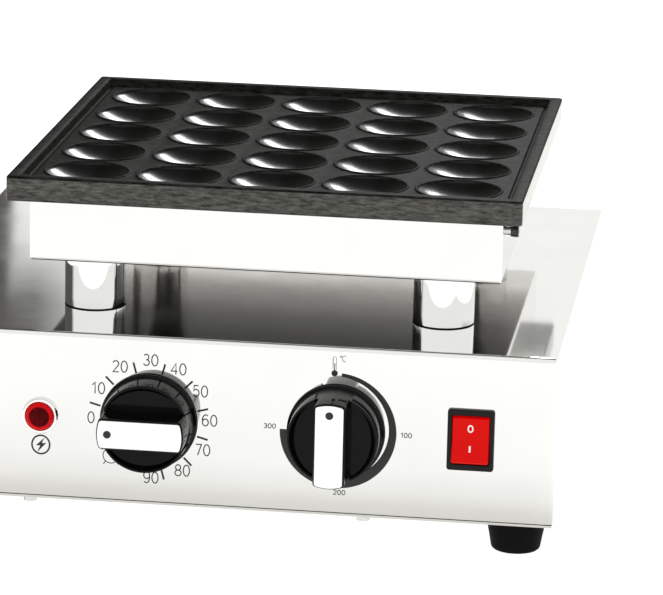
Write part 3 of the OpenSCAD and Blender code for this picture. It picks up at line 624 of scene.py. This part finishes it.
def make_switch():
    place = on_front(SX, ROW)
    b = Build(place)
    outer, inner = round_rect(25.3, 34, 1.6), round_rect(20.2, 27.2, 0.8)
    loops = [[(x, y, 0.0) for x, y in outer], [(x, y, 1.0) for x, y in outer]]
    for d, h in fillet_levels(0.9, 5):
        loops.append([(x, y, 2.2 + h) for x, y in inset(outer, d)])
    for d, h in reversed(fillet_levels(0.35, 3)):
        loops.append([(x, y, 2.2 + h) for x, y in inset(inner, -d)])
    loops.append([(x, y, -10.5) for x, y in inner])
    b.stack(loops, False, True)
    # housing behind the panel
    hb = round_rect(21.8, 29.8, 1.0)
    b.stack([[(x, y, 0.0) for x, y in hb], [(x, y, -21.4) for x, y in hb], [(x, y, -22) for x, y in inset(hb, 0.6)]], False, True)
    piece("switch_bezel", b.v, b.f, "black_plastic", "frame", ["switch_housing"], smooth=40)
    # rocker: a side outline swept across its width
    R, tilt = 12.9, math.radians(10)
    end = 12.04
    pts = []
    a_end = math.atan2(0.985 * end, 3 + 0.1736 * end)
    a_low = math.acos(-8 / R)
    for k in range(13):
        a = -a_low + (a_low - a_end) * k / 12
        pts.append((R * math.cos(a), R * math.sin(a)))
    for k in range(1, 9):
        t = end * (1 - k / 8)
        pts.append((3 + 0.1736 * math.sqrt(t * t + 0.36), -0.985 * t) if t > 0 else (3 + 0.1736 * 0.6, 0))
    for k in range(1, 9):
        t = end * k / 8
        pts.append((3 + 0.1736 * math.sqrt(t * t + 0.36), 0.985 * t))
    for k in range(1, 13):
        a = a_end + (a_low - a_end) * k / 12
        pts.append((R * math.cos(a), R * math.sin(a)))
    c, s = math.cos(tilt), math.sin(tilt)

    def rest(q):
        o, y, x = q  # out of the panel, up, across
        return place((x, y * c + o * s, 0.5 - y * s + o * c))

    r = Build(rest)
    w = 9.75
    loops = []
    for d, h in reversed(fillet_levels(0.6, 4)):
        loops.append([(o, y, -w - h) for o, y in inset(pts, d)])
    for d, h in fillet_levels(0.6, 4):
        loops.append([(o, y, w + h) for o, y in inset(pts, d)])
    r.stack(loops, True, True)
    piece("rocker_cap", r.v, r.f, "red_rocker", "switch_rocker", ["switch_rocker"], smooth=32)

    # marks on the two faces of the rocker
    def mark(name, y0, strokes, width):
        q = Build(rest)
        for line, closed in strokes:
            ribbon(q, line, width, closed, lambda u, v: (3 + 0.1736 * math.sqrt(((v + y0) / 0.985) ** 2 + 0.36), v + y0, u), out=0)
        piece(name, q.v, q.f, "ink_white", "switch_rocker", smooth=None)

    circle = [(1.25 * math.cos(a), 1.75 * math.sin(a)) for a in [2 * math.pi * k / 32 for k in range(32)]]
    mark("rocker_mark_off", 6.4, [(circle, True)], 0.75)
    mark("rocker_mark_on", -4.6, [([(0, -1.7), (0, 1.7)], False)], 1.0)


def ribbon(b, line, width, closed=False, lift=None, thick=0.05, out=2):
    """A printed stroke along a line of (x, y) points; lift gives the surface point, out the axis it stands up on."""
    n = len(line)
    L, Rr = [], []
    for k in range(n):
        p = Vector(line[k])
        p0 = Vector(line[k - 1]) if (k > 0 or closed) else None
        p1 = Vector(line[(k + 1) % n]) if (k < n - 1 or closed) else None
        a = (p - p0).normalized() if p0 is not None else (p1 - p).normalized()
        c = (p1 - p).normalized() if p1 is not None else a
        na, nc = Vector((-a.y, a.x)), Vector((-c.y, c.x))
        m = na + nc
        m = m / max(m.length_squared, 1e-6) * 2
        if m.length > 1.8:
            m = m.normalized() * 1.8
        L.append(p + m * width / 2)
        Rr.append(p - m * width / 2)
    lift = lift or flat

    def up(p, t):
        q = list(lift(p.x, p.y))
        q[out] += t
        return tuple(q)

    rows = []
    for k in range(n):
        rows.append([up(L[k], 0.0), up(L[k], thick), up(Rr[k], thick), up(Rr[k], 0.0)])
    ids = [b.loop(r) for r in rows]
    for k in range(n if closed else n - 1):
        a, c = ids[k], ids[(k + 1) % n]
        for q in range(4):
            e = (q + 1) % 4
            b.face([a[q], a[e], c[e], c[q]])
    if not closed:
        b.face(ids[0])
        b.face(ids[-1][::-1])


def flat(u, v):
    return (u, v, 0.0)


make_switch()

# ---------------------------------------------------------------- pilot lamp


def make_lamp():
    place = on_front(-114.5, ROW)
    b = Build(place)
    b.lathe([(7.85, 1.0), (7.9, 2.6), (8.05, 3.0), (8.4, 3.25), (8.9, 3.2), (9.4, 2.9), (9.85, 2.3), (10.1, 1.5), (10.2, 0.7), (10.2, 0.0), (7.1, 0.0), (7.1, 1.0), (7.85, 1.0)], 96)
    piece("lamp_ring", b.v, b.f, "chrome_bezel", "frame", ["pilot_lamp_bezel"], smooth=50)
    l = Build(place)
    l.lathe([(0, 1.25), (7.8, 1.25), (7.82, 2.6), (7.7, 3.2), (7.3, 3.75), (6.6, 4.25), (5.9, 4.5), (5.6, 4.45), (5.3, 4.6), (4.4, 5.0), (3.2, 5.3), (1.8, 5.5), (0, 5.58)], 96)
    for n, f in enumerate(l.f):
        if all(math.hypot(l.v[i][0] + 114.5, l.v[i][2] - ROW) < 5.65 and l.v[i][1] < FY - 3 for i in f):
            l.k[n] = 1
    piece("lamp_lens", l.v, l.f, ["red_lens", "red_lens_deep"], "frame", ["pilot_lamp_lens"], l.k, smooth=50)


make_lamp()

# ---------------------------------------------------------------- posts and feet


def make_posts():
    for fx, sx in (("left", -1), ("right", 1)):
        for fyn, sy in (("front", -1), ("rear", 1)):
            cx, cy = sx * 97, PY + sy * 108
            b = Build(lambda p: (p[0] + cx, p[1] + cy, p[2]))
            b.lathe([(15.4, 114.5), (16.5, 114.5), (16.78, 114.62), (16.85, 114.9), (16.85, 120), (16.85, 130), (16.85, 138), (16.85, 141.7), (16.78, 141.98), (16.5, 142.1), (15.4, 142.1), (15.35, 129), (15.4, 114.5)], 160)
            piece("post_tube_%s_%s" % (fyn, fx), b.v, b.f, "chrome_post", "frame", ["post_%s_%s" % (fyn, fx)], smooth=40)
            c = Build(lambda p: (p[0] + (144 if sx > 0 else -184), p[1] + sy * 153, p[2]))
            c.lathe([(0, 8.0), (5.9, 8.0), (6.0, 7.8), (6.0, 0.5), (6.3, 0.12), (7, 0.0), (11.2, 0.0), (12.3, 0.22), (13.1, 0.9), (13.55, 1.9), (13.72, 3.0), (14.5, 7.5), (15.5, 12.5), (16.4, 16.9),
                     (16.75, 18.2), (16.9, 18.9), (16.85, 19.5), (16.5, 19.78), (0, 19.78)], 96)
            piece("foot_pad_%s_%s" % (fyn, fx), c.v, c.f, "rubber", "frame", ["foot_%s_%s" % (fyn, fx)], smooth=35)


make_posts()

# ---------------------------------------------------------------- printed scales


def arc(cx, cy, rx, ry, a0, a1, n=14):
    return [(cx + rx * math.cos(math.radians(a0 + (a1 - a0) * k / n)), cy + ry * math.sin(math.radians(a0 + (a1 - a0) * k / n))) for k in range(n + 1)]


NINE = [(0.54 - x, 1 - y) for x, y in arc(0.30, 0.48, 0.30, 0.52, 52, 180) + [(0.0, 0.31)]]
GLYPH = {
    "0": (0.54, [(arc(0.27, 0.5, 0.27, 0.5, 0, 345, 23), True)]),
    "1": (0.40, [([(0.06, 0.76), (0.30, 1.0), (0.30, 0.0)], False)]),
    "2": (0.54, [(arc(0.27, 0.73, 0.25, 0.27, 165, -38) + [(0.02, 0.0), (0.54, 0.0)], False)]),
    "3": (0.54, [(arc(0.26, 0.75, 0.22, 0.25, 150, -80) + arc(0.26, 0.265, 0.26, 0.265, 80, -155), False)]),
    "4": (0.56, [([(0.42, 0.0), (0.42, 1.0), (0.0, 0.30), (0.56, 0.30)], False)]),
    "5": (0.54, [([(0.48, 1.0), (0.11, 1.0), (0.06, 0.52)] + arc(0.26, 0.33, 0.27, 0.33, 132, -150), False)]),
    "6": (0.54, [(arc(0.30, 0.48, 0.30, 0.52, 52, 180), False), (arc(0.27, 0.31, 0.26, 0.31, 0, 345, 23), True)]),
    "7": (0.50, [([(0.0, 1.0), (0.50, 1.0), (0.17, 0.0)], False)]),
    "8": (0.54, [(arc(0.27, 0.755, 0.22, 0.245, 0, 345, 23), True), (arc(0.27, 0.26, 0.27, 0.26, 0, 345, 23), True)]),
    "9": (0.54, [(arc(0.24, 0.52, 0.30, 0.52, 232, 360), False), (arc(0.27, 0.69, 0.26, 0.31, 0, 345, 23), True)]),
    "C": (0.60, [(arc(0.36, 0.5, 0.36, 0.5, 48, 312, 20), False)]),
    "o": (0.30, [(arc(0.15, 0.85, 0.13, 0.13, 0, 337, 15), True)]),
}


def write(b, text, cx, cy, height, stroke, wide=1.0, gap=0.20):
    total = sum(GLYPH[c][0] for c in text) * wide * height + gap * height * (len(text) - 1)
    x = cx - total / 2
    for c in text:
        w, strokes = GLYPH[c]
        for line, closed in strokes:
            ribbon(b, [(x + px * height * wide, cy - height / 2 + py * height) for px, py in line], stroke, closed, flat)
        x += w * height * wide + gap * height


def filled(b, outline, thick=0.05):
    b.stack([[(x, y, 0.0) for x, y in outline], [(x, y, thick) for x, y in outline]], True, True)


def make_scales():
    t = Build(on_front(-55.0, ROW))
    for text, x, y in (("0", -31.7, 0.3), ("10", -27.9, 17), ("20", -16, 29.8), ("30", 0.7, 34.3), ("40", 16, 30.1), ("50", 28, 18.4), ("60", 33.3, 2.3), ("70", 29.8, -14.5), ("80", 18.7, -26.7), ("90", 1.5, -31.7)):
        write(t, text, x, y, 6.2, 0.64)
    piece("timer_numbers", t.v, t.f, "ink_black", "frame", smooth=None)
    t = Build(on_front(-55.0, ROW))
    for a in (-75, -45, -15, 15, 45, 75, 105, 135, 165):
        c, s = math.sin(math.radians(a)), math.cos(math.radians(a))
        ribbon(t, [(27.4 * c, 27.4 * s), (33.6 * c, 33.6 * s)], 1.1, False, flat)
    piece("timer_ticks", t.v, t.f, "ink_black", "frame", smooth=None)
    # alarm clock symbol
    t = Build(on_front(-55.0 - 20.6, ROW - 20.6))
    ribbon(t, arc(0, 0, 4.3, 4.3, 0, 352, 44), 0.5, True, flat)
    ribbon(t, [(-2.9, -3.3), (-4.1, -4.9)], 0.55, False, flat)
    ribbon(t, [(2.9, -3.3), (4.1, -4.9)], 0.55, False, flat)
    ribbon(t, [(0, 2.6), (0, 0), (2.0, -1.2)], 0.45, False, flat)
    ribbon(t, arc(-3.4, 4.0, 1.5, 1.5, 45, 225, 8), 0.5, False, flat)
    ribbon(t, arc(3.4, 4.0, 1.5, 1.5, 135, -45, 8), 0.5, False, flat)
    piece("timer_symbol", t.v, t.f, "ink_black", "frame", smooth=None)

    h = Build(on_front(47.1, ROW))
    # tapered band from just right of the top, clockwise to the left
    stops = [(4.5, 33.0, 31.1), (90, 32.8, 28.6), (180, 31.5, 25.0), (270, 30.5, 22.0)]
    outer, inner = [], []
    for k in range(91):
        a = 4.5 + (270 - 4.5) * k / 90
        for (a0, o0, i0), (a1, o1, i1) in zip(stops, stops[1:]):
            if a0 <= a <= a1:
                q = (a - a0) / (a1 - a0)
                o, i = o0 + (o1 - o0) * q, i0 + (i1 - i0) * q
                break
        c, s = math.sin(math.radians(a)), math.cos(math.radians(a))
        outer.append((o * c, o * s))
        inner.append((i * c, i * s))
    rows = [[(ox, oy, 0), (ox, oy, 0.05), (ix, iy, 0.05), (ix, iy, 0)] for (ox, oy), (ix, iy) in zip(outer, inner)]
    ids = [h.loop(r) for r in rows]
    for a, c in zip(ids, ids[1:]):
        for q in range(4):
            e = (q + 1) % 4
            h.face([a[q], a[e], c[e], c[q]])
    h.face(ids[0])
    h.face(ids[-1][::-1])
    filled(h, arc(-1.4, 32.7, 1.75, 1.75, 0, 345, 23))
    ribbon(h, [(-1.4, 34.0), (-1.4, 38.2)], 0.55, False, flat)
    piece("thermostat_band", h.v, h.f, "ink_black", "frame", smooth=None)
    h = Build(on_front(47.1, ROW))
    for text, x, y in (("100", 38.0, 0.3), ("200", 2.5, -33.8), ("300", -36.0, 1.3)):
        write(h, text, x, y, 2.5, 0.46, 1.25, 0.26)
    piece("thermostat_numbers", h.v, h.f, "ink_black", "frame", smooth=None)
    h = Build(on_front(47.1, ROW))
    ribbon(h, [(-2.3, 34.6), (-2.3, 41.0)] + arc(-1.4, 41.0, 0.9, 0.9, 180, 0, 8) + [(-0.5, 34.6)], 0.35, False, flat)
    write(h, "oC", 3.0, 41.0, 3.2, 0.45, 1.0, 0.08)
    piece("thermostat_symbol", h.v, h.f, "ink_grey", "frame", smooth=None)

    # lightning symbol under the lamp
    p = Build(on_front(-114.3, 50.2))
    ribbon(p, arc(0, 0, 4.9, 5.2, 0, 352, 44), 0.95, True, flat)
    filled(p, [(2.2, 4.2), (-2.8, -0.6), (-0.35, -0.55), (-2.1, -4.5), (3.0, 0.95), (0.55, 0.85)][::-1])
    piece("power_symbol", p.v, p.f, "ink_black", "frame", smooth=None)


make_scales()

# ---------------------------------------------------------------- materials on the CAD nodes that show

SLOT = {m["slot"]: m for m in frame["record"]["materials"]}
for name, ob in NODES.items():
    got = ob.data.materials[0].name.split(".")[0] if ob.data.materials else ""
    for i in range(len(ob.data.materials)):
        key = ob.data.materials[i].name.split(".")[0]
        if name == "heater_box":
            ob.data.materials[i] = M["box_steel"]
        elif key in M:
            ob.data.materials[i] = M[key]
        else:
            print("no material for", name, key)

# ---------------------------------------------------------------- floor, light, camera

me = bpy.data.meshes.new("floor")
me.from_pydata([(-30, -30, 0), (30, -30, 0), (30, 30, 0), (-30, 30, 0)], [], [(0, 1, 2, 3)])
floor = bpy.data.objects.new("floor", me)
bpy.context.scene.collection.objects.link(floor)
fm = Mat("floor_white", (0.92, 0.92, 0.915), 0.8, Emission_Color=(1, 1, 0.99, 1), Emission_Strength=0.95)
fm.color(fm.mix(fm.span(fm.noise(300), 0, 1), (0.24, 0.24, 0.237), (0.26, 0.26, 0.257)))
me.materials.append(fm.m)

world = bpy.data.worlds.new("studio")
bpy.context.scene.world = world
world.use_nodes = True
wt = world.node_tree
bg = wt.nodes["Background"]
tc = wt.nodes.new("ShaderNodeTexCoord")
sep = wt.nodes.new("ShaderNodeSeparateXYZ")
wt.links.new(tc.outputs["Generated"], sep.inputs[0])
rp = wt.nodes.new("ShaderNodeValToRGB")
els = rp.color_ramp.elements
els[0].position, els[0].color = 0.0, (1, 1, 0.985, 1)
els[1].position, els[1].color = 1.0, (0.20, 0.20, 0.20, 1)
for at, tone in ((0.32, 1.0), (0.42, 0.62), (0.52, 0.28), (0.80, 0.20)):
    e = els.new(at)
    e.color = (tone, tone, tone * 0.985, 1)
wt.links.new(sep.outputs["Z"], rp.inputs["Fac"])
# the sky is white in front of the object and dim only above and behind it
rear = wt.nodes.new("ShaderNodeMapRange")
rear.inputs["From Min"].default_value = -0.20
rear.inputs["From Max"].default_value = 0.02
wt.links.new(sep.outputs["Y"], rear.inputs["Value"])
sky = wt.nodes.new("ShaderNodeMix")
sky.data_type = "RGBA"
sky.inputs[6].default_value = (1, 1, 0.985, 1)
wt.links.new(rear.outputs["Result"], sky.inputs[0])
wt.links.new(rp.outputs["Color"], sky.inputs[7])
# a dark flag stands behind it to the left
left = wt.nodes.new("ShaderNodeMapRange")
left.inputs["From Min"].default_value = -0.172
left.inputs["From Max"].default_value = -0.192
wt.links.new(sep.outputs["X"], left.inputs["Value"])
flag = wt.nodes.new("ShaderNodeMath")
flag.operation = "MULTIPLY"
wt.links.new(left.outputs["Result"], flag.inputs[0])
wt.links.new(rear.outputs["Result"], flag.inputs[1])
above = wt.nodes.new("ShaderNodeMapRange")
above.inputs["From Min"].default_value = 0.236
above.inputs["From Max"].default_value = 0.252
wt.links.new(sep.outputs["Z"], above.inputs["Value"])
edge = wt.nodes.new("ShaderNodeMapRange")
edge.inputs["From Min"].default_value = -0.1978
edge.inputs["From Max"].default_value = -0.1993
wt.links.new(sep.outputs["X"], edge.inputs["Value"])
reach = wt.nodes.new("ShaderNodeMath")
reach.operation = "MAXIMUM"
wt.links.new(edge.outputs["Result"], reach.inputs[0])
wt.links.new(above.outputs["Result"], reach.inputs[1])
upper = wt.nodes.new("ShaderNodeMath")
upper.operation = "MULTIPLY"
wt.links.new(flag.outputs[0], upper.inputs[0])
wt.links.new(reach.outputs[0], upper.inputs[1])
dark = wt.nodes.new("ShaderNodeMix")
dark.data_type = "RGBA"
wt.links.new(upper.outputs[0], dark.inputs[0])
wt.links.new(sky.outputs[2], dark.inputs[6])
dark.inputs[7].default_value = (0.10, 0.098, 0.09, 1)
wt.links.new(dark.outputs[2], bg.inputs["Color"])
bg.inputs["Strength"].default_value = 1.0


def area(name, at, to, size, power):
    l = bpy.data.lights.new(name, "AREA")
    l.shape = "RECTANGLE"
    l.size, l.size_y = size
    l.energy = power
    o = bpy.data.objects.new(name, l)
    bpy.context.scene.collection.objects.link(o)
    o.location = at
    o.rotation_euler = (Vector(to) - Vector(at)).to_track_quat("-Z", "Y").to_euler()
    return o


area("soft_back", (0.22, 1.85, 1.32), (0.02, 0, 0.19), (0.95, 0.55), 40)

cam = bpy.data.cameras.new("camera")
cam.sensor_width = 36
cam.lens = 221.08
cam.clip_end = 100
cam_ob = bpy.data.objects.new("camera", cam)
bpy.context.scene.collection.objects.link(cam_ob)
R = Matrix.Rotation(0.124796, 3, "Z") @ Matrix.Rotation(-0.252871, 3, "X") @ Matrix.Rotation(-0.022478, 3, "Y")
right, fwd, up = R.col[0], R.col[1], R.col[2]
mw = Matrix.Identity(4)
for r in range(3):
    mw[r][0], mw[r][1], mw[r][2] = right[r], up[r], -fwd[r]
mw.translation = (0.30478 + OX * MM, -2.26401, 0.68466)
cam_ob.matrix_world = mw
bpy.context.scene.camera = cam_ob
bpy.context.scene.view_settings.view_transform = "Standard"
